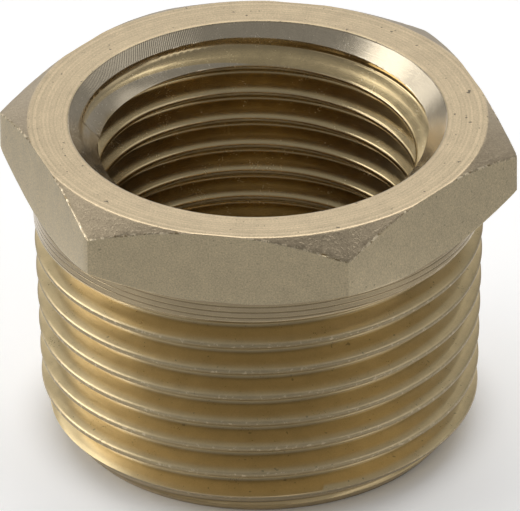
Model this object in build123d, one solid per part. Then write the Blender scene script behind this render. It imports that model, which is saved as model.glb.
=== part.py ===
"""Hex bushing, R 3/4 taper thread outside and Rp 1/2 parallel thread inside.

One turned piece of brass hexagon bar. The origin is the centre of the small end
of the outer thread. The axis is +Z and the hexagon is at the top. Two flats of
the hexagon face -Y and +Y, and two of its corners point to -X and +X.
Lengths are in millimetres and angles in degrees.
"""
from build123d import *
from math import atan, degrees, radians, sqrt, tan
import os

# Overall length and the hexagon head
overall_length = 20.2
head_height = 4.6
across_flats = 27.0
head_face_diameter = 27.2      # ring left flat on each face of the head
head_bevel_angle = 30.0        # slope of the bevel on the corners, above and below

# Outer pipe thread, tapered, right hand
threads_per_inch = 14
gauge_diameter = 26.441        # over the crests at the gauge plane
gauge_length = 9.5             # from the small end to the gauge plane
taper = 1 / 16                 # growth in diameter for each unit of length
thread_angle = 55.0
depth_per_pitch = 0.6403
full_turns = 8                 # turns of full depth, then the groove runs out
run_out_turns = 0.5
entry_angle = 132.6            # from +X round to where the groove enters the small end
end_bevel_height = 2.0
end_bevel_diameter = 22.7

# Bore: the crests of the inner thread, and a countersink at each end
bore_diameter = 18.631
mouth_diameter = 22.44
lower_mouth_diameter = 21.2
countersink_angle = 90.0

# Worked out from the sizes above
pitch = 25.4 / threads_per_inch
groove_depth = depth_per_pitch * pitch
shank_length = overall_length - head_height
crest_slope = taper / 2
overlap = 0.35                 # how far a cutter reaches past the metal it cuts


def crest_radius(height):
    """Radius over the outer thread's crests at a height above the small end."""
    return gauge_diameter / 2 + (height - gauge_length) * crest_slope


def turned(*outline):
    """Solid turned about the axis from an outline of (radius, height) points."""
    return revolve(Plane.XZ * make_face(Polyline(*outline, close=True)), Axis.Z)


def groove_cutter(start_height, turns, slope):
    """V cutter led round the axis by a helix, from the +X side upwards.

    Its tip starts at the bottom of the groove at start_height and moves outwards
    by slope for each unit of climb.
    """
    tip_radius = crest_radius(start_height) - groove_depth
    path = Pos(0, 0, start_height) * Helix(
        pitch, turns * pitch, tip_radius, cone_angle=degrees(atan(slope))
    )
    reach = groove_depth + overlap
    half_width = reach * tan(radians(thread_angle / 2))
    blade = make_face(Polyline((0, 0), (reach, -half_width), (reach, half_width), close=True))
    blade_plane = Plane(origin=path @ 0, x_dir=(1, 0, 0), z_dir=(0, -1, 0))
    return sweep(blade_plane * blade, path=path, is_frenet=True)


def threaded_shank():
    """Tapered shank with a bevelled small end and the helical groove cut in it."""
    shank = turned(
        (0, 0),
        (end_bevel_diameter / 2, 0),
        (crest_radius(end_bevel_height), end_bevel_height),
        (crest_radius(shank_length), shank_length),
        (0, shank_length),
    )
    height = -pitch * entry_angle / 360
    for turn in range(full_turns):
        shank -= groove_cutter(height, 1, crest_slope)
        height += pitch
    run_out_slope = (groove_depth + overlap / 2) / (run_out_turns * pitch)
    return shank - groove_cutter(height, run_out_turns, run_out_slope)


def hexagon_head():
    """Slice of hexagon bar, bevelled round its corners on both faces."""
    hexagon = RegularPolygon(across_flats / 2, 6, major_radius=False)
    bar = Pos(0, 0, shank_length) * extrude(hexagon, head_height)
    face_radius = head_face_diameter / 2
    rim_radius = across_flats / sqrt(3) + overlap
    bevel_height = (rim_radius - face_radius) * tan(radians(head_bevel_angle))
    bevelled_disc = turned(
        (0, shank_length),
        (face_radius, shank_length),
        (rim_radius, shank_length + bevel_height),
        (rim_radius, overall_length - bevel_height),
        (face_radius, overall_length),
        (0, overall_length),
    )
    return bar & bevelled_disc


def bore_cutter():
    """Straight bore with a countersink at each end."""
    spread = tan(radians(countersink_angle / 2))
    bore_radius = bore_diameter / 2
    mouth_radius = mouth_diameter / 2
    lower_radius = lower_mouth_diameter / 2
    return turned(
        (0, -overlap),
        (lower_radius + overlap * spread, -overlap),
        (bore_radius, (lower_radius - bore_radius) / spread),
        (bore_radius, overall_length - (mouth_radius - bore_radius) / spread),
        (mouth_radius + overlap * spread, overall_length + overlap),
        (0, overall_length + overlap),
    )


bushing = threaded_shank() + hexagon_head() - bore_cutter()

os.makedirs("parts", exist_ok=True)
export_step(bushing, "parts/bushing.step")
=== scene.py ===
"""Hex bushing: the threaded surface, its metal, the floor, lamps and camera.

Lengths are in millimetres up to the point where a mesh, floor or lamp is made,
and angles are in radians unless a name says degrees. A turn is a share of a
whole turn round the axis, counted from the x axis towards the y axis.
"""
import bpy
import numpy as np
from mathutils import Matrix


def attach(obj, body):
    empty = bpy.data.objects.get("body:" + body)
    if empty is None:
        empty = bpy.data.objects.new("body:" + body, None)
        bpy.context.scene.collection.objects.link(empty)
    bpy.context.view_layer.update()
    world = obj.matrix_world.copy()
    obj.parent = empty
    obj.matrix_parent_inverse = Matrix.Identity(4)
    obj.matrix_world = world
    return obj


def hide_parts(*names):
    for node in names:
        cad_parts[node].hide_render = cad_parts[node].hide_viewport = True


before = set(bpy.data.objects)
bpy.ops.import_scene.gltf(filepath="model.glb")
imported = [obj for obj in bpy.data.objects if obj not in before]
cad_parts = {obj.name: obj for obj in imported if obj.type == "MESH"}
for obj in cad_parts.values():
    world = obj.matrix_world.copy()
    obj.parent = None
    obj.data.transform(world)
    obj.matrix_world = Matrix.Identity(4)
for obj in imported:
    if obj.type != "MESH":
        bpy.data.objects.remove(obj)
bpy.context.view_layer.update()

MM = 0.001

# Head and length
LENGTH = 20.2
HEAD_HEIGHT = 4.6
SHANK = LENGTH - HEAD_HEIGHT
HALF_FLATS = 13.5
FACE_RADIUS = 13.6
BEVEL_SLOPE = np.tan(np.radians(30))
CORNER_EASE = 0.03
CORNER_BLEND = 0.12
EDGE_EASE = 0.06
EDGE_DROP = 0.02

# Both threads: 14 to the inch, 55 degrees
PITCH = 25.4 / 14
FLANK = np.tan(np.radians(27.5))
THREAD_DEPTH = 0.6403 * PITCH
ROUND = 0.1373 * PITCH
ARC_REACH = ROUND * np.cos(np.radians(27.5))
ARC_RISE = ROUND * (1 - np.sin(np.radians(27.5)))

# Outer thread
GAUGE_RADIUS = 26.441 / 2
GAUGE_LENGTH = 9.5
CREST_SLOPE = 1 / 32
CREST_WEAR = 0.02
CREST_BLEND = 0.03
OUTER_START = -PITCH * 132.6 / 360
OUTER_MARGIN = 0.03
FULL_TURNS = 8
RUN_OUT_TURNS = 0.5
RUN_OUT_CLEARANCE = 0.175
RUN_OUT_SLOPE = (THREAD_DEPTH + RUN_OUT_CLEARANCE) / (RUN_OUT_TURNS * PITCH)
PAST_SURFACE = 99.0
END_BEVEL_HEIGHT = 2.0
END_RADIUS = 11.35
END_BLEND = 0.04

# Inner thread and its countersinks
BORE_RADIUS = 9.3155
INNER_ROOT_RADIUS = BORE_RADIUS + THREAD_DEPTH
INNER_START = 18.53
MOUTH_RADIUS = 11.22
MOUTH_EASE = 0.04
LOWER_MOUTH_RADIUS = 10.6
LOWER_MARGIN = 0.06
VERTEX_RADIUS = INNER_ROOT_RADIUS - ARC_RISE + ARC_REACH / FLANK

# Broken part of the first ridge; degrees are counted from the front, 90 at the right.
# A groove counts as the first one from a little before its root leaves the countersink
FRONT_DEGREES = 79.7
BREAK_RADIUS = 10.53
BREAK_START = 86
BREAK_RISE = 3
BREAK_NARROWS_BELOW = 190
BREAK_NARROWING = 0.0042
EARLY = 0.2
LEAVES = MOUTH_RADIUS - INNER_ROOT_RADIUS - EARLY

# Rows and columns of the skin; shares of a pitch, or of the way over a face
COLUMNS = 300
ARC = ARC_REACH / PITCH
HALF_FLANK = 0.5 - ARC
BARED = 0.04
CUT_LIMIT = 0.45
CUT_LEAST = 0.01
CUT_MOST = 0.6
ROOT_ROWS = [ARC * 0.5, ARC, 0.25]
OUTER_CREST_ROWS = [HALF_FLANK, 0.412, 0.445, 0.475]
INNER_CREST_ROWS = [HALF_FLANK, HALF_FLANK + BARED, 0.46]
BEVEL_ROWS = np.array([0.0, 0.06, 0.35, 0.65, 0.9, 0.96])
CHIPPED_FROM = 0.9
SIDE_ROWS = np.array([0, 0.02, 0.3, 0.7, 0.98, 1])
RING_ROWS = np.array([0, 0.03, 0.35, 0.65, 0.97, 1])
CONE_ROWS = np.array([0.0, 0.06, 0.5, 0.95, 1.0])

# Wear: how many columns a ripple spans and how high it is, and the share and size of nicks
CORNER_RIPPLE = (5, 0.004)
CHIP_RIPPLE = (3, 0.012)
CHIP_NICKS = (0.10, 0.05)
MOUTH_RIPPLE = (3, 0.010)
RAGGED_RIPPLE = (3, 0.003)
RAGGED_NICKS = (0.30, 0.008)
WHOLE_RIDGE_SHARE = 0.3
SEED = 12
SHARP_DEGREES = 38


def smooth_min(a, b, width):
    """Lesser of two surfaces, blended by a quarter of a hyperbola over width."""
    return 0.5 * (a + b - np.sqrt((a - b) ** 2 + width ** 2))


def smooth_max(a, b, width):
    """Greater of two surfaces, blended over width."""
    return 0.5 * (a + b + np.sqrt((a - b) ** 2 + width ** 2))


def crest_radius(z):
    """Cone over the outer thread's crests: grows by 1/32 for each unit up."""
    return GAUGE_RADIUS + (z - GAUGE_LENGTH) * CREST_SLOPE


def tooth(away):
    """Rise of the thread's form above its groove's bottom, at a distance along from there.

    A round root, a straight flank and a round crest, whose arcs have the same
    radius, up to half a pitch away.
    """
    away = np.clip(away, 0, PITCH / 2)
    root = ROUND - np.sqrt(ROUND ** 2 - np.minimum(away, ARC_REACH) ** 2)
    crest = ROUND - np.sqrt(ROUND ** 2 - np.minimum(PITCH / 2 - away, ARC_REACH) ** 2)
    flank = ARC_RISE + (away - ARC_REACH) / FLANK
    return np.where(away < ARC_REACH, root,
                    np.where(away > PITCH / 2 - ARC_REACH, THREAD_DEPTH - crest, flank))


def outer_radius(z, turn):
    """Outer surface of the shank at a height and a turn.

    The least of the crest cone, the end bevel and a V groove. The groove's
    centre climbs by one pitch a turn, and its tip moves outwards in the last
    half turn, where it runs out.
    """
    count = np.round((z - OUTER_START) / PITCH - turn)
    travel = count + turn
    centre = OUTER_START + travel * PITCH
    tip = crest_radius(centre) - THREAD_DEPTH
    tip = tip + RUN_OUT_SLOPE * PITCH * np.clip(travel - FULL_TURNS, 0, None)
    tip = np.where(travel > FULL_TURNS + RUN_OUT_TURNS, PAST_SURFACE, tip)
    groove = tip + tooth(np.abs(z - centre))
    bevel = END_RADIUS + z * (crest_radius(END_BEVEL_HEIGHT) - END_RADIUS) / END_BEVEL_HEIGHT
    threaded = smooth_min(crest_radius(z) - CREST_WEAR, groove, CREST_BLEND)
    return smooth_min(threaded, bevel, END_BLEND)


def first_groove_depth(turn):
    """Depth below the top face of the inner thread's first groove.

    It lies within one pitch of a depth that is a little less than the one at
    which the groove's root leaves the countersink.
    """
    return LEAVES + PITCH * (((LENGTH - LEAVES - INNER_START) / PITCH - turn) % 1.0)


def broken_radius(turn):
    """Radius to which the thin edge of the first ridge is broken away.

    It is just past the groove's root on the far side, falls towards the start
    of the break, and is nothing elsewhere. The break ends where the first
    groove runs out of the countersink.
    """
    degrees = (turn * 360 + FRONT_DEGREES) % 360
    wall = BREAK_RADIUS - BREAK_NARROWING * np.clip(BREAK_NARROWS_BELOW - degrees, 0, None)
    reach = np.clip((degrees - BREAK_START) / BREAK_RISE, 0, 1)
    last = 360 * (((LENGTH - LEAVES - INNER_START) / PITCH) % 1.0) + FRONT_DEGREES
    kept = (degrees > BREAK_START) & (degrees < last)
    return np.where(kept, BORE_RADIUS + (wall - BORE_RADIUS) * reach, 0.0)


def mouth_edge(turn):
    """Depth at which the countersink ends.

    It is the lesser of two depths: where the countersink's 45 degree line
    meets the first ridge's upper flank, and where it meets the broken wall.
    """
    ridge = ((MOUTH_RADIUS - VERTEX_RADIUS) * FLANK + first_groove_depth(turn)) / (1 + FLANK)
    return np.minimum(ridge, MOUTH_RADIUS - broken_radius(turn))


def inner_radius(z, turn):
    """Inner surface at a height and a turn.

    The greatest of the bore, the two 45 degree countersinks and a V groove
    whose centre climbs by one pitch a turn. Above the first groove the wall
    is no nearer the axis than the broken edge.
    """
    count = np.round((z - INNER_START) / PITCH - turn)
    centre = INNER_START + (count + turn) * PITCH
    surface = INNER_ROOT_RADIUS - tooth(np.abs(z - centre))
    above = z > LENGTH - first_groove_depth(turn)
    surface = np.where(above, np.maximum(surface, broken_radius(turn)), surface)
    surface = np.maximum(surface, MOUTH_RADIUS - (LENGTH - z))
    return smooth_max(surface, LOWER_MOUTH_RADIUS - z, CREST_BLEND)


def hexagon_radius(turn):
    """Distance from the axis to the hexagon's side, with corners eased.

    Half the width over the flats, divided by the cosine of the angle from
    the middle of the nearest side.
    """
    angle = (turn * 2 * np.pi) % (np.pi / 3) - np.pi / 6
    sharp = HALF_FLATS / np.cos(angle)
    return smooth_min(sharp, HALF_FLATS / np.cos(np.pi / 6) - CORNER_EASE, CORNER_BLEND)


def helical_rows(start, fractions, low, high):
    """Heights of rows that follow a thread, as (row, column), clipped to ends.

    Row heights are start plus pitch times a whole turn, a fraction of it and
    the column's part of a turn. The last column meets the first one a turn on.
    """
    first = int(np.floor((low - start) / PITCH)) - 2
    last = int(np.ceil((high - start) / PITCH)) + 1
    whole = np.repeat(np.arange(first, last), len(fractions))
    part = np.tile(fractions, last - first)
    steps = whole[:, None] * COLUMNS + np.arange(COLUMNS)[None, :]
    heights = start + PITCH * (part[:, None] + steps / COLUMNS)
    return np.clip(heights, low, high)


def inner_rows(fractions, low, high):
    """Heights of rows down the inner thread, as (row, column), clipped.

    Each row is a fraction of a pitch below a groove's root. Under the first
    groove, where the countersink also cuts the ridge, the rows move so that
    two of them lie on the countersink's edges.
    """
    first = int(np.floor((low - INNER_START) / PITCH)) - 1
    last = int(np.ceil((LENGTH - INNER_START) / PITCH)) + 2
    whole = np.repeat(np.arange(last, first, -1), len(fractions))[:, None]
    part = np.tile(fractions, last - first)[:, None]
    centre = INNER_START + PITCH * (whole + turns[None, :])
    depth = LENGTH - centre
    # where the countersink leaves the lower flank, and where it reaches the bore
    met = (depth / FLANK + VERTEX_RADIUS - MOUTH_RADIUS) / (1 / FLANK - 1)
    cut_from = (met - depth) / PITCH
    cut_to = (MOUTH_RADIUS - BORE_RADIUS - depth) / PITCH
    cut = (depth >= MOUTH_RADIUS - INNER_ROOT_RADIUS) & (cut_from < CUT_LIMIT)
    cut_from = np.where(cut, np.clip(cut_from, 0, CUT_LIMIT), HALF_FLANK)
    cut_to = np.where(cut, np.clip(cut_to, cut_from + CUT_LEAST, CUT_MOST), HALF_FLANK + BARED)
    # rows on the flank, between the two edges, over the crest, and past it
    flank = part * cut_from / HALF_FLANK
    bared = cut_from + (part - HALF_FLANK) * (cut_to - cut_from) / BARED
    over = (part - HALF_FLANK - BARED) / (1 - BARED - 2 * HALF_FLANK)
    crest = cut_to + over * (1 - HALF_FLANK - cut_to)
    moved = np.where(part <= 1 - HALF_FLANK, crest, part)
    moved = np.where(part <= HALF_FLANK + BARED, bared, moved)
    moved = np.where(part <= HALF_FLANK, flank, moved)
    return np.clip(centre - PITCH * moved, low, high)


turns = np.arange(COLUMNS) / COLUMNS


class Skin:
    """Rows of points round the axis, joined into one closed surface."""

    def __init__(self):
        self.points = []
        self.faces = []
        self.count = 0
        self.first = None
        self.last = None

    def add(self, radius, height, shift=0):
        """Add rows given as (row, column) arrays of radius and height.

        With a shift, the last column joins the first one that many rows on,
        and points clipped to an end are drawn together into one.
        """
        rows = radius.shape[0]
        angle = 2 * np.pi * turns[None, :]
        points = np.stack([radius * np.cos(angle), radius * np.sin(angle), height], -1)
        ids = self.count + np.arange(rows * COLUMNS).reshape(rows, COLUMNS)
        if shift:
            ids = np.where(height == height[:1], ids[:1], ids)
            ids = np.where(height == height[-1:], ids[-1:], ids)
        index = np.arange(rows)
        step = shift if height[-1, 0] >= height[0, 0] else -shift
        wrapped = ids[np.clip(index + step, 0, rows - 1), 0]
        right = np.concatenate([ids[:, 1:], wrapped[:, None]], 1)
        self.weave(ids[:-1], right[:-1], right[1:], ids[1:])
        if self.last is not None:
            self.join(self.last, ids[0])
        else:
            self.first = ids[0]
        self.last = ids[-1]
        self.points.append(points.reshape(-1, 3))
        self.count += rows * COLUMNS

    def band(self, start, end, shares):
        """Add rings on straight lines between two edges, each a radius and a height."""
        share = shares[:, None]
        radius = start[0] + (end[0] - start[0]) * share
        height = start[1] + (end[1] - start[1]) * share
        shape = (len(shares), COLUMNS)
        self.add(np.broadcast_to(radius, shape), np.broadcast_to(height, shape))

    def join(self, below, above):
        """Join two rows that have the same columns, all the way round."""
        self.weave(below, np.roll(below, -1), np.roll(above, -1), above)

    def weave(self, a, b, c, d):
        """Two triangles for each cell whose corners are a, b, c and d."""
        corners = np.stack([a, b, c, d], -1).reshape(-1, 4)
        both = np.concatenate([corners[:, [0, 1, 2]], corners[:, [0, 2, 3]]])
        self.faces.append(both)

    def mesh(self, name):
        """Join the last row to the first, and leave out faces drawn to a line."""
        self.join(self.last, self.first)
        points = np.concatenate(self.points) * MM
        faces = np.concatenate(self.faces)
        differ = faces != np.roll(faces, 1, axis=1)
        faces = faces[differ.all(axis=1)]
        used, faces = np.unique(faces, return_inverse=True)
        faces = faces.reshape(-1, 3)
        mesh = bpy.data.meshes.new(name)
        mesh.vertices.add(len(used))
        mesh.vertices.foreach_set("co", points[used].ravel())
        mesh.loops.add(faces.size)
        mesh.loops.foreach_set("vertex_index", faces.ravel().astype(np.int32))
        mesh.polygons.add(len(faces))
        mesh.polygons.foreach_set("loop_start", np.arange(0, faces.size, 3, dtype=np.int32))
        mesh.update(calc_edges=True)
        mesh.validate()
        mesh.shade_smooth()
        mesh.set_sharp_from_angle(angle=np.radians(SHARP_DEGREES))
        return mesh


def smooth_noise(random, waves, strength):
    """Seeded ripple round the axis: random steps, summed over a few columns by a bell curve."""
    steps = random.normal(size=COLUMNS)
    kernel = np.hanning(waves + 2)[1:-1]
    ring = np.concatenate([steps[-waves:], steps, steps[:waves]])
    smooth = np.convolve(ring, kernel / np.sqrt((kernel ** 2).sum()), "same")[waves:-waves]
    return strength * smooth


def nicks(random, share, strength):
    """Seeded single dents and burrs: nothing in most columns."""
    chosen = random.random(COLUMNS) < share
    return np.where(chosen, strength * random.normal(size=COLUMNS), 0.0)


def both_sides(parts):
    """Row fractions of a whole pitch, from those of its first half."""
    return np.sort([0, 0.5] + parts + [1 - part for part in parts])


def bushing_mesh():
    """One closed skin: up the outside, over the top face and down the bore."""
    random = np.random.default_rng(SEED)
    skin = Skin()
    two_edges = np.array([0.0, 1.0])
    # small end's flat ring
    skin.band((LOWER_MOUTH_RADIUS + EDGE_EASE, 0), (END_RADIUS - EDGE_EASE, 0), two_edges)
    # outer thread; fractions of a pitch from the groove's centre
    fractions = both_sides(ROOT_ROWS + OUTER_CREST_ROWS)
    heights = helical_rows(OUTER_START, fractions, OUTER_MARGIN, SHANK - OUTER_MARGIN)
    skin.add(outer_radius(heights, turns[None, :]), heights, len(fractions))
    # head: underside, lower bevel, side, upper bevel
    corner = hexagon_radius(turns) + smooth_noise(random, *CORNER_RIPPLE)
    face = np.minimum(FACE_RADIUS, corner)
    bevel = (corner - face) * BEVEL_SLOPE
    chip = smooth_noise(random, *CHIP_RIPPLE) + nicks(random, *CHIP_NICKS)
    skin.band((crest_radius(SHANK) + EDGE_DROP, SHANK), (face - EDGE_EASE, SHANK), two_edges)
    skin.band((face, SHANK + EDGE_DROP), (corner, SHANK + EDGE_DROP + bevel), BEVEL_ROWS)
    skin.band((corner, SHANK + bevel + EDGE_EASE), (corner, LENGTH - bevel - EDGE_EASE), SIDE_ROWS)
    share = BEVEL_ROWS[::-1, None]
    chipped = face + (corner - face) * share - np.abs(chip) * (share > CHIPPED_FROM)
    skin.add(chipped, LENGTH - EDGE_DROP - bevel * share)
    # top ring
    outer_edge = face - EDGE_EASE + np.minimum(chip, 0)
    inner_edge = MOUTH_RADIUS + MOUTH_EASE + smooth_noise(random, *MOUTH_RIPPLE)
    skin.band((outer_edge, LENGTH), (inner_edge, LENGTH), RING_ROWS)
    # countersink, down to the first ridge's edge
    ragged = smooth_noise(random, *RAGGED_RIPPLE) + nicks(random, *RAGGED_NICKS)
    broken = broken_radius(turns) > 0
    edge = mouth_edge(turns) + np.where(broken, ragged, WHOLE_RIDGE_SHARE * ragged)
    upper = (MOUTH_RADIUS - MOUTH_EASE, LENGTH - MOUTH_EASE)
    lower = (MOUTH_RADIUS - edge + MOUTH_EASE, LENGTH - edge + MOUTH_EASE)
    skin.band(upper, lower, CONE_ROWS)
    # inner thread, from that edge down
    fractions = both_sides(ROOT_ROWS + INNER_CREST_ROWS)
    heights = inner_rows(fractions, LOWER_MARGIN, LENGTH - edge)
    skin.add(inner_radius(heights, turns[None, :]), heights, len(fractions))
    return skin.mesh("bushing_skin")


skin_mesh = bushing_mesh()
bushing = bpy.data.objects.new("threaded_bushing", skin_mesh)
bpy.context.collection.objects.link(bushing)
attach(bushing, "root")
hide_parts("bushing")


class Value:
    """A number that varies over the surface; arithmetic on it adds Math nodes."""

    def __init__(self, shading, socket):
        self.shading = shading
        self.socket = socket

    def __add__(self, other):
        return self.shading.math("ADD", self, other)

    def __sub__(self, other):
        return self.shading.math("SUBTRACT", self, other)

    def __rsub__(self, other):
        return self.shading.math("SUBTRACT", other, self)

    def __mul__(self, other):
        return self.shading.math("MULTIPLY", self, other)

    def __truediv__(self, other):
        return self.shading.math("DIVIDE", self, other)

    def __pow__(self, other):
        return self.shading.math("POWER", self, other)

    __radd__ = __add__
    __rmul__ = __mul__


class Shading:
    """The nodes of one material."""

    def __init__(self, name):
        self.material = bpy.data.materials.new(name)
        self.material.use_nodes = True
        self.tree = self.material.node_tree
        self.shader = self.tree.nodes["Principled BSDF"]

    def node(self, kind, settings, inputs):
        """Add a node: its settings first, then the values or links of its inputs."""
        node = self.tree.nodes.new(kind)
        for name, setting in settings.items():
            setattr(node, name, setting)
        for name, value in inputs.items():
            self.feed(node.inputs[name], value)
        return node

    def feed(self, socket, value):
        """Link a varying value to a socket, or set a constant on it."""
        if isinstance(value, Value):
            value = value.socket
        if isinstance(value, bpy.types.NodeSocket):
            self.tree.links.new(value, socket)
        else:
            socket.default_value = value

    def math(self, operation, first, second=0.0):
        """Result of one Math node on two values or numbers."""
        node = self.node("ShaderNodeMath", {"operation": operation}, {0: first, 1: second})
        return Value(self, node.outputs[0])

    def size(self, value):
        """The value without its sign."""
        return self.math("ABSOLUTE", value)

    def ramp(self, value, low, high):
        """0 on low's side, 1 on high's side, smooth between; low may be the greater."""
        node = self.node("ShaderNodeMapRange", {"interpolation_type": "SMOOTHSTEP"},
                         {"Value": value, "From Min": low, "From Max": high})
        return Value(self, node.outputs["Result"])

    def noise(self, vector, per_mm, detail, roughness):
        """Cloud noise from 0 to 1, with so many lumps a millimetre."""
        node = self.node("ShaderNodeTexNoise", {"noise_dimensions": "3D"},
                         {"Vector": vector, "Scale": per_mm, "Detail": detail, "Roughness": roughness})
        return Value(self, node.outputs["Fac"])

    def lines(self, value, per_mm, detail, roughness):
        """Noise along one coordinate only, which draws parallel lines."""
        node = self.node("ShaderNodeTexNoise", {"noise_dimensions": "1D"},
                         {"W": value, "Scale": per_mm, "Detail": detail, "Roughness": roughness})
        return Value(self, node.outputs["Fac"])

    def mix(self, mask, first, second, blend="MIX"):
        """Colour that goes from the first to the second with the mask."""
        node = self.node("ShaderNodeMix", {"data_type": "RGBA", "blend_type": blend}, {0: mask})
        self.feed(node.inputs[6], first)
        self.feed(node.inputs[7], second)
        return node.outputs[2]


# Colours of the metal's finishes; DARK also serves as painted shade and BRIGHT as painted highlights
PALE = (0.62, 0.50, 0.32, 1)
DEEP = (0.73, 0.575, 0.31, 1)
SATIN = (0.66, 0.55, 0.36, 1)
TURNED = (0.57, 0.455, 0.295, 1)
BEVELLED = (0.43, 0.35, 0.24, 1)
# WORN_AND_SHADED darkens the outer crests: partly wear, partly painted shade that dims their reflections
WORN_AND_SHADED = (0.37, 0.30, 0.185, 1)
BRIGHT = (0.80, 0.68, 0.48, 1)
CUT = (0.60, 0.52, 0.39, 1)
DARK = (0.30, 0.23, 0.13, 1)
SPECK = (0.16, 0.13, 0.09, 1)

# Where finishes and painted shade lie: a mask is 0 at the first number and 1 at the second
BAND_FOOT = SHANK - 1.65
TOP_FACE = (LENGTH - 0.05, LENGTH - 0.01)
HEAD = (SHANK - 0.05, SHANK)
INSIDE = (MOUTH_RADIUS + 0.02, MOUTH_RADIUS - 0.02)
BEYOND_FACE = (FACE_RADIUS - 0.25, FACE_RADIUS - 0.1)
BELOW_BEVEL = (-0.02, -0.08)
OFF_CONE = (0.08, 0.03)
CONE_HEIGHT = (LENGTH - 2.5, LENGTH - 2.2)
BAND = (BAND_FOOT - 0.1, BAND_FOOT + 0.1)
BORE_HEIGHT = (LENGTH - 0.6, LENGTH - 1.6)
END_BEVEL = (END_BEVEL_HEIGHT * 0.6, 0.0)
MOUTH_LINE = (0.08, 0.04)
MOUTH_HEIGHT = (LENGTH - 0.2, LENGTH)
OFF_FLAT = (0.14, 0.05)
OFF_BEVEL = (0.12, 0.05)

# The same over a pitch, from 0 in the root to 0.5 on the crest
OUTER_ROOT = (0.17, 0.06)
INNER_ROOT = (0.2, 0.05)
OUTER_FLANK = (0.47, 0.34)
INNER_FLANK = (0.47, 0.38)
CREST = (0.37, 0.45)
ABOVE_ROOT = (0.0, 0.12)
BELOW_CREST = (0.5, 0.45)

# Noise: lumps a millimetre, levels of detail and their strength
GRAIN = (10.0, 2.0, 0.6)
FINE_GRAIN = (17.0, 1.0, 0.5)
MOTTLE = (0.9, 3.0, 0.6)
SPECKS = (3.1, 1.0, 0.5)
SCUFFS = (4.5, 2.0, 0.5)
GLINTS = (4.0, 3.0, 0.6)
RUBBED = (2.6, 2.0, 0.5)
CHIPS = (4.4, 2.0, 0.5)
LINES = (5.5, 3.0, 0.6)
LEVELS = (6.5, 3.0, 0.6)
MIDDLE = 0.5

# Noise at which a mark starts, and at which it is full
SPECK_LIMITS = (0.73, 0.78)
SCUFF_LIMITS = (0.52, 0.62)
GLINT_LIMITS = (0.56, 0.66)
RUBBED_LIMITS = (0.48, 0.56)
CHIP_LIMITS = (0.56, 0.62)
SCUFFS_BELOW_BEVEL = (-0.25, -0.02)

# Turned rings under the hexagon and chatter marks in the mouth
RING_STEP = 0.38
RING_LIMITS = (0.3, 0.95)
HATCH_LINES = 460
HATCH_SLANT = 40
HATCH_TURN = 0.40
HATCH_REACH = (0.085, 0.06)
HATCH_HEIGHT = (LENGTH - 0.85, LENGTH - 0.8)

# How much a finish or a mark covers the ones before it; the bore, root, overhang, ring and end shares paint
# shade
FLANK_COVER = 0.85
BORE_PAINTED_SHADE = 0.15
ROOT_PAINTED_SHADE = 0.65
OVERHANG_PAINTED_SHADE = 0.55
GLINT_COVER = 0.45
BAND_COVER = 0.3
RING_PAINTED_SHADE = 0.6
END_PAINTED_SHADE = 0.45
MOUTH_COVER = 0.5
SIDE_SPECKS = 0.4
THREAD_SPECKS = 0.5

# How much a mark lightens or darkens
MOTTLE_SHADE = 0.26
GRAIN_SHADE = 0.2
SIDE_GRAIN_SHADE = 0.7
TOP_GRAIN_SHADE = 0.6
FINE_SHADE = 0.12
HEAD_FINE_SHADE = 0.25
LINE_SHADE = 0.5
HATCH_SHADE = 0.22

# Roughness, and what is added to it
ROUGHNESS = 0.24
SIDE_ROUGHNESS = 0.14
TOP_ROUGHNESS = 0.10
THREAD_ROUGHNESS = 0.07
CREST_ROUGHNESS = 0.14
MARK_ROUGHNESS = 0.12

# Relief: its scale in mm, and the height of each mark in parts of that
RELIEF = 0.006
GRAIN_RELIEF = 0.05
HEAD_GRAIN_RELIEF = 0.50
FINE_RELIEF = 0.6
SCUFF_RELIEF = 0.8
LINE_RELIEF = 0.6
LEVEL_RELIEF = 0.4
RING_DEPTH = 2.5
HATCH_RELIEF = 0.6


def from_root(metal, z, turn, start):
    """Pitches up from the nearest groove's centre: 0 in the root, 0.5 either way on the crest.

    The height over the pitch, less the turn, taken to the nearest whole number.
    """
    return metal.math("FRACT", (z - start) / PITCH - turn + 0.5) - 0.5


def from_side(metal, x, y):
    """Depth below the nearest of the hexagon's sides: half its width over the flats, less
    the greatest distance from the axis along the three directions square to the sides.
    """
    slant_x = x * float(np.cos(np.pi / 6))
    slant_y = y * float(np.sin(np.pi / 6))
    slanted = metal.math("MAXIMUM", metal.size(slant_x + slant_y), metal.size(slant_x - slant_y))
    return HALF_FLATS - metal.math("MAXIMUM", slanted, metal.size(y))


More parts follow.
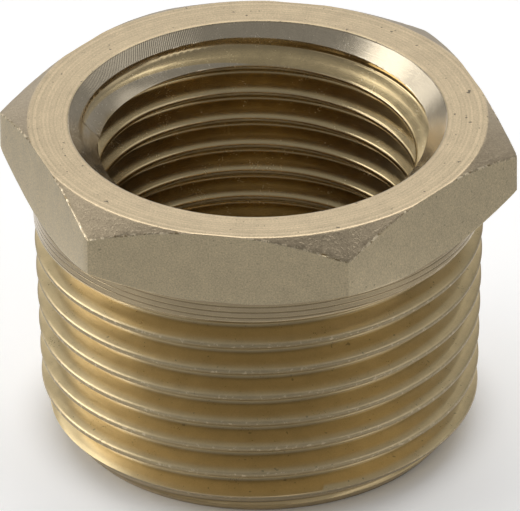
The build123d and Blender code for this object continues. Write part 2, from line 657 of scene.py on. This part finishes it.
def brass():
    """Turned and barrelled brass, with tool marks, grain and specks, painted shade in the grooves, the bore
    and on the small end, and painted highlights on the crests.
    """
    metal = Shading("pale_brass")
    place = metal.node("ShaderNodeTexCoord", {}, {}).outputs["Object"]
    scaled = metal.node("ShaderNodeVectorMath", {"operation": "SCALE"}, {0: place, "Scale": 1 / MM})
    point = scaled.outputs["Vector"]
    split = metal.node("ShaderNodeSeparateXYZ", {}, {0: point})
    x, y, z = (Value(metal, socket) for socket in split.outputs)
    radius = (x ** 2 + y ** 2) ** 0.5
    turn = metal.math("ARCTAN2", y, x) / (2 * np.pi)

    # head: top face, sides with their bevels, flats alone and the line where they meet
    top_face = metal.ramp(z, *TOP_FACE)
    head = metal.ramp(z, *HEAD)
    inside = metal.ramp(radius, *INSIDE)
    outside = 1 - inside
    sides = head * outside * (1 - top_face) * metal.ramp(radius, *BEYOND_FACE)
    over_bevel = z - (LENGTH - BEVEL_SLOPE * (radius - FACE_RADIUS))
    flats = sides * metal.ramp(over_bevel, *BELOW_BEVEL)
    edge = sides * metal.ramp(from_side(metal, x, y), *OFF_FLAT)
    edge = edge * metal.ramp(metal.size(over_bevel), *OFF_BEVEL)

    # mouth and bore
    off_cone = metal.size(radius - z - (MOUTH_RADIUS - LENGTH))
    cone = inside * metal.ramp(off_cone, *OFF_CONE) * metal.ramp(z, *CONE_HEIGHT)
    mouth_line = metal.ramp(metal.size(radius - MOUTH_RADIUS), *MOUTH_LINE)
    mouth_line = mouth_line * metal.ramp(z, *MOUTH_HEIGHT)
    # in_bore: the bore below the countersink, which the colour loop darkens there with painted shade
    in_bore = inside * metal.ramp(z, *BORE_HEIGHT)
    inner_along = metal.size(from_root(metal, z, turn, INNER_START))

    # shank: plain band, thread and bevelled end
    shank = outside * (1 - head)
    # band: plain band under the hexagon, which the colour loop paints darker all over
    band = shank * metal.ramp(z, *BAND)
    threaded = shank * (1 - band)
    # end_bevel: painted shade on the bevel at the small end, darker towards the bottom
    end_bevel = shank * metal.ramp(z, *END_BEVEL)
    up_from_root = from_root(metal, z, turn, OUTER_START)
    outer_along = metal.size(up_from_root)
    # root: painted shade in the bottoms of the grooves, on the outer and the inner thread
    root = threaded * metal.ramp(outer_along, *OUTER_ROOT) + in_bore * metal.ramp(inner_along, *INNER_ROOT)
    flank = threaded * metal.ramp(outer_along, *OUTER_FLANK) + in_bore * metal.ramp(inner_along, *INNER_FLANK)
    crest = threaded * metal.ramp(outer_along, *CREST)
    # overhang: painted shade on the down-facing flank just under each outer crest
    overhang = threaded * metal.ramp(up_from_root, *ABOVE_ROOT) * metal.ramp(up_from_root, *BELOW_CREST)

    # marks
    grain = metal.noise(point, *GRAIN)
    fine_grain = metal.noise(point, *FINE_GRAIN)
    mottle = metal.noise(point, *MOTTLE)
    lines = metal.lines(radius, *LINES)
    levels = metal.lines(z, *LEVELS)
    # rings: turned grooves in the band, cut into the relief and darkened with painted shade
    rings = metal.math("SINE", z * (2 * np.pi / RING_STEP))
    rings = band * metal.ramp(rings, *RING_LIMITS)
    specks = metal.ramp(metal.noise(point, *SPECKS), *SPECK_LIMITS)
    scuffs = metal.ramp(metal.noise(point, *SCUFFS), *SCUFF_LIMITS)
    scuffs = scuffs * sides * metal.ramp(over_bevel, *SCUFFS_BELOW_BEVEL)
    # glints: painted highlights, bright specks on the outer crests
    glints = GLINT_COVER * crest * metal.ramp(metal.noise(point, *GLINTS), *GLINT_LIMITS)
    rubbed = edge * metal.ramp(metal.noise(point, *RUBBED), *RUBBED_LIMITS)
    chips = edge * metal.ramp(metal.noise(point, *CHIPS), *CHIP_LIMITS)
    hatch = metal.math("SINE", turn * (2 * np.pi * HATCH_LINES) + HATCH_SLANT * radius)
    hatched = cone * metal.ramp(z, *HATCH_HEIGHT)
    hatched = hatched * metal.ramp(metal.size(turn - HATCH_TURN), *HATCH_REACH)

    # colour: each finish, painted shade or painted highlight over the ones before it
    colour = PALE
    for cover, finish in (
        (sides, BEVELLED),
        (flats, SATIN),
        (top_face, TURNED),
        (crest, WORN_AND_SHADED),
        (flank * FLANK_COVER, DEEP),
        (in_bore * BORE_PAINTED_SHADE, DARK),
        (root * ROOT_PAINTED_SHADE, DARK),
        (overhang * OVERHANG_PAINTED_SHADE, DARK),
        (glints, BRIGHT),
        (cone, CUT),
        (band * BAND_COVER + rings * RING_PAINTED_SHADE, DARK),
        (end_bevel * END_PAINTED_SHADE, DARK),
        (mouth_line * MOUTH_COVER, DARK),
        (rubbed, BRIGHT),
        (chips, DARK),
    ):
        colour = metal.mix(cover, colour, finish)
    # lighter and darker, by how far each noise is from its middle
    shade = 1.0 + MOTTLE_SHADE * (mottle - MIDDLE)
    grain_shade = GRAIN_SHADE + SIDE_GRAIN_SHADE * sides + TOP_GRAIN_SHADE * top_face
    shade = shade + grain_shade * (grain - MIDDLE)
    shade = shade + (FINE_SHADE + HEAD_FINE_SHADE * head) * (fine_grain - MIDDLE)
    shade = shade + LINE_SHADE * top_face * (lines - MIDDLE) + HATCH_SHADE * hatched * hatch
    grey = metal.node("ShaderNodeCombineColor", {}, {0: shade, 1: shade, 2: shade}).outputs[0]
    colour = metal.mix(1.0, colour, grey, "MULTIPLY")
    specks = specks * (top_face + SIDE_SPECKS * sides + THREAD_SPECKS * threaded)
    metal.feed(metal.shader.inputs["Base Color"], metal.mix(specks, colour, SPECK))
    metal.shader.inputs["Metallic"].default_value = 1
    rough = ROUGHNESS + SIDE_ROUGHNESS * sides + TOP_ROUGHNESS * top_face
    rough = rough + THREAD_ROUGHNESS * threaded + CREST_ROUGHNESS * crest
    rough = rough + MARK_ROUGHNESS * (grain - MIDDLE) + MARK_ROUGHNESS * (mottle - MIDDLE)
    metal.feed(metal.shader.inputs["Roughness"], rough)

    # relief
    height = GRAIN_RELIEF + HEAD_GRAIN_RELIEF * (sides + top_face)
    height = height * (grain + FINE_RELIEF * fine_grain) + SCUFF_RELIEF * scuffs
    height = height + LINE_RELIEF * (top_face + cone) * lines
    height = height + LEVEL_RELIEF * (shank + in_bore) * levels
    height = height - RING_DEPTH * rings + HATCH_RELIEF * hatched * hatch
    bump = metal.node("ShaderNodeBump", {}, {"Height": height, "Strength": 1.0, "Distance": RELIEF * MM})
    metal.feed(metal.shader.inputs["Normal"], bump.outputs["Normal"])
    return metal.material


skin_mesh.materials.append(brass())


# Directions seen from the camera: to its right, away from it, and up
VIEW_AZIMUTH = np.radians(10.3)
across = np.array([np.cos(VIEW_AZIMUTH), np.sin(VIEW_AZIMUTH), 0])
away = np.array([-np.sin(VIEW_AZIMUTH), np.cos(VIEW_AZIMUTH), 0])
upright = np.array([0, 0, 1.0])

# Floor, in metres
FLOOR_RADIUS = 6.0
FLOOR_SIDES = 96
FLOOR_ROUGHNESS = 0.9
WHITE_PAPER = (0.95, 0.95, 0.95, 1)
GREY_PAPER = (0.55, 0.55, 0.55, 1)
SHEET_HALF_WIDTH = 0.021
SHEET_HALF_DEPTH = 0.0295
SHEET_SET_BACK = 0.0175
SHEET_FADE = 0.014
SHEET_GLOW = (0.28, 0.28, 0.28, 1)
BLACK = (0, 0, 0, 1)
FOOT_RADIUS = 0.011
FOOT_FADE = 0.004


def paper():
    """Matt floor: white under and behind the object, fading to pale grey round about.

    The fade goes by the distance past a rounded sheet. What looks at the sheet,
    directly or in a mirror, sees it a little lighter, except under the object.
    """
    sheet = Shading("pale_floor")
    place = sheet.node("ShaderNodeTexCoord", {}, {}).outputs["Object"]
    split = sheet.node("ShaderNodeSeparateXYZ", {}, {0: place})
    x, y = (Value(sheet, split.outputs[name]) for name in ("X", "Y"))
    sideways = x * float(across[0]) + y * float(across[1])
    behind = x * float(away[0]) + y * float(away[1])
    past_side = sheet.math("MAXIMUM", sheet.size(sideways) - SHEET_HALF_WIDTH)
    past_end = sheet.math("MAXIMUM", sheet.size(behind - SHEET_SET_BACK) - SHEET_HALF_DEPTH)
    grey = sheet.ramp((past_side ** 2 + past_end ** 2) ** 0.5, 0.0, SHEET_FADE)
    sheet.feed(sheet.shader.inputs["Base Color"], sheet.mix(grey, WHITE_PAPER, GREY_PAPER))
    rays = sheet.node("ShaderNodeLightPath", {}, {}).outputs
    seen = Value(sheet, rays["Is Camera Ray"]) + Value(sheet, rays["Is Glossy Ray"])
    seen = seen + Value(sheet, rays["Is Transmission Ray"])
    beside = sheet.ramp((x ** 2 + y ** 2) ** 0.5, FOOT_RADIUS, FOOT_RADIUS + FOOT_FADE)
    glow = sheet.mix(seen * beside * (1 - grey), BLACK, SHEET_GLOW)
    sheet.feed(sheet.shader.inputs["Emission Color"], glow)
    sheet.shader.inputs["Emission Strength"].default_value = 1
    sheet.shader.inputs["Roughness"].default_value = FLOOR_ROUGHNESS
    return sheet.material


def floor_disc():
    """Flat disc on the ground: points evenly round a circle, in one face."""
    angle = np.linspace(0, 2 * np.pi, FLOOR_SIDES, endpoint=False)
    points = FLOOR_RADIUS * np.stack([np.cos(angle), np.sin(angle), 0 * angle], -1)
    mesh = bpy.data.meshes.new("floor")
    mesh.from_pydata(points.tolist(), [], [list(range(FLOOR_SIDES))])
    mesh.materials.append(paper())
    floor = bpy.data.objects.new("floor", mesh)
    bpy.context.collection.objects.link(floor)


floor_disc()

WORLD_STRENGTH = 0.28
world = bpy.data.worlds.new("studio")
bpy.context.scene.world = world
world.use_nodes = True
background = world.node_tree.nodes["Background"].inputs
background["Color"].default_value = (1, 1, 1, 1)
background["Strength"].default_value = WORLD_STRENGTH

# Lamps, at a distance in metres: degrees round from the camera (90 is its right),
# degrees up, degrees wide and high, and the brightness of the lamp's face
LAMP_DISTANCE = 1.3
SOFTBOXES = {
    "back_low": (180, 11, 60, 22, 0.85),
    "back_mid": (180, 33, 60, 22, 0.35),
    "back_high": (180, 58, 60, 28, 2.2),
    "left_low": (265, 10, 40, 20, 4.4),
    "left_front": (305, 12, 36, 22, 0.35),
    "left_high": (264, 37, 34, 15, 2.2),
    "left_back": (236, 20, 24, 14, 1.2),
    "right_low": (56, 10, 34, 20, 1.1),
    "right_mid": (88, 31, 50, 22, 0.45),
}


def placed(name, data, place, forward, top):
    """Put a lamp or camera at a place, looking forward, with its top given."""
    right = np.cross(forward, top)
    matrix = np.eye(4)
    matrix[:3, :3] = np.array([right, top, -forward]).T
    matrix[:3, 3] = place
    holder = bpy.data.objects.new(name, data)
    holder.matrix_world = Matrix(matrix.tolist())
    bpy.context.collection.objects.link(holder)
    return holder


def softbox(name, round_degrees, up_degrees, wide_degrees, high_degrees, brightness):
    """Rectangular lamp that faces the object; brightness is that of its face."""
    angle = np.radians(round_degrees)
    rise = np.radians(up_degrees)
    level = np.sin(angle) * across - np.cos(angle) * away
    toward = np.cos(rise) * level + np.sin(rise) * upright
    top = np.cos(rise) * upright - np.sin(rise) * level
    lamp = bpy.data.lights.new(name, "AREA")
    lamp.shape = "RECTANGLE"
    lamp.size = 2 * LAMP_DISTANCE * np.tan(np.radians(wide_degrees / 2))
    lamp.size_y = 2 * LAMP_DISTANCE * np.tan(np.radians(high_degrees / 2))
    lamp.energy = brightness * np.pi * lamp.size * lamp.size_y
    placed(name, lamp, toward * LAMP_DISTANCE, -toward, top)


for name, setting in SOFTBOXES.items():
    softbox(name, *setting)

# Camera: weak perspective from a little over a metre. The distance and what is
# nearest and farthest are in metres, the sensor in millimetres. The target is given
# across from the axis and down from the top, in parts of TARGET_UNIT millimetres
PICTURE_WIDTH = 520
FOCAL_PIXELS = 17541.5
ELEVATION = 0.5498
DISTANCE = 1.0406
ROLL = -0.0089
TARGET_UNIT = 13.23
TARGET_ACROSS = 0.0051
TARGET_DOWN = 0.7204
SENSOR_WIDTH = 36
NEAREST = 0.05
FARTHEST = 50
target = across * TARGET_ACROSS * TARGET_UNIT * MM
target = target + upright * (LENGTH - TARGET_DOWN * TARGET_UNIT) * MM
forward = away * np.cos(ELEVATION) - upright * np.sin(ELEVATION)
raised = away * np.sin(ELEVATION) + upright * np.cos(ELEVATION)
raised = np.cos(ROLL) * raised - np.sin(ROLL) * across
camera = bpy.data.cameras.new("camera")
camera.sensor_width = SENSOR_WIDTH
camera.sensor_fit = "HORIZONTAL"
camera.lens = SENSOR_WIDTH * FOCAL_PIXELS / PICTURE_WIDTH
camera.clip_start = NEAREST
camera.clip_end = FARTHEST
bpy.context.scene.camera = placed("camera", camera, target - forward * DISTANCE, forward, raised)
bpy.context.scene.view_settings.view_transform = "Standard"
